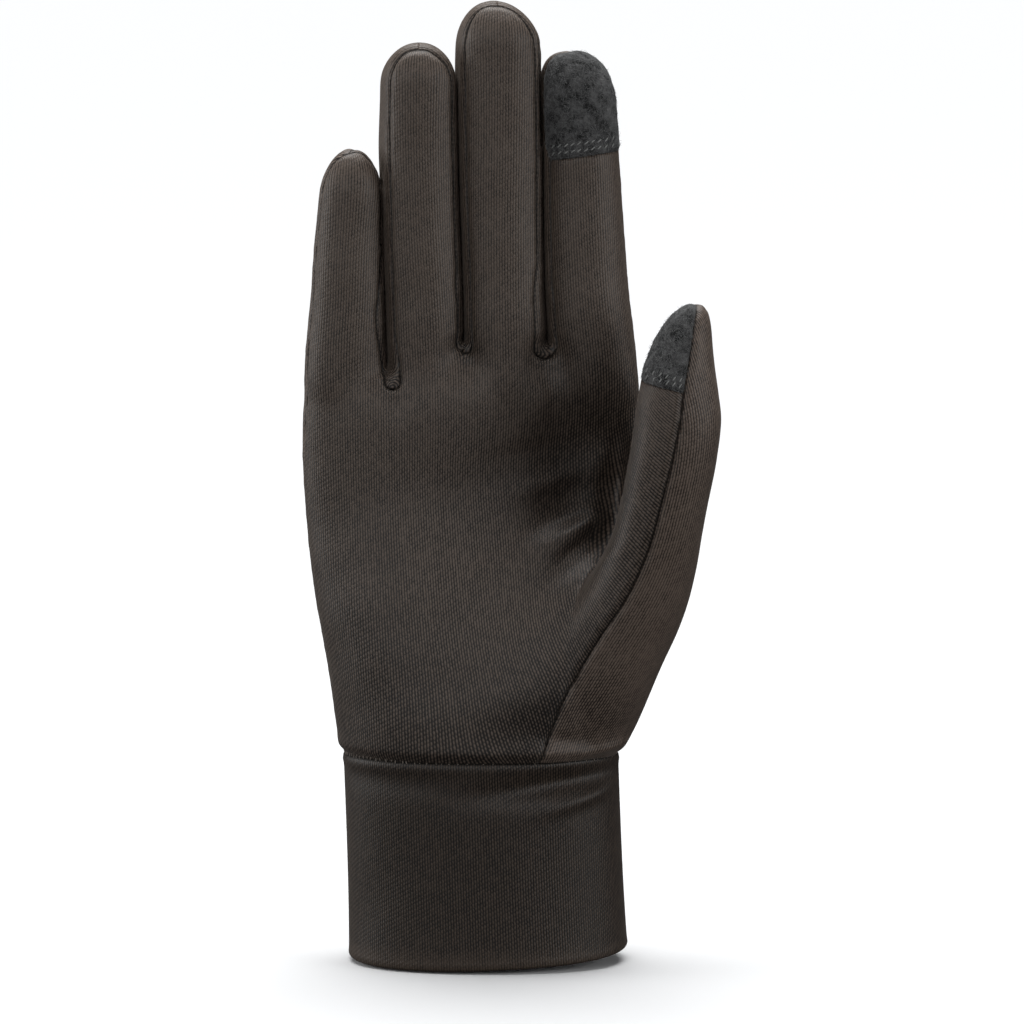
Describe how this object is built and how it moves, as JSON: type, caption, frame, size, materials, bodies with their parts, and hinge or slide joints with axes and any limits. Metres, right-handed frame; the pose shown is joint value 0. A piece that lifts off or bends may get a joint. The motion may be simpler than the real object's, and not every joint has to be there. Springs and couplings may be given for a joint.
{
  "type": "glove liner",
  "caption": "Right-hand stretch-knit glove liner shaped as worn, with side panels between the fingers, touch pads on index and thumb tips, and a long doubled cuff.",
  "frame": {"origin": "centre of the cuff's mouth, where the wrist goes in", "axes": "+Z from the cuff towards the fingertips, -Y out of the palm, +X towards the thumb"},
  "size_m": [0.102, 0.0555, 0.2368],
  "materials": {
    "knit_cloth": "stretch tricot knit with a slight sheen and fine lengthwise wales",
    "cuff_cloth": "the same stretch knit, doubled, with a soft folded hem",
    "touch_pad": "matt brushed conductive fleece"
  },
  "bodies": {
    "root": {"palm_panel": "knit_cloth", "back_panel": "knit_cloth", "fourchette_little_ring": "knit_cloth", "fourchette_ring_middle": "knit_cloth", "fourchette_middle_index": "knit_cloth", "index_touch_pad": "touch_pad", "thumb_touch_pad": "touch_pad", "cuff": "cuff_cloth"}
  },
  "joints": []
}
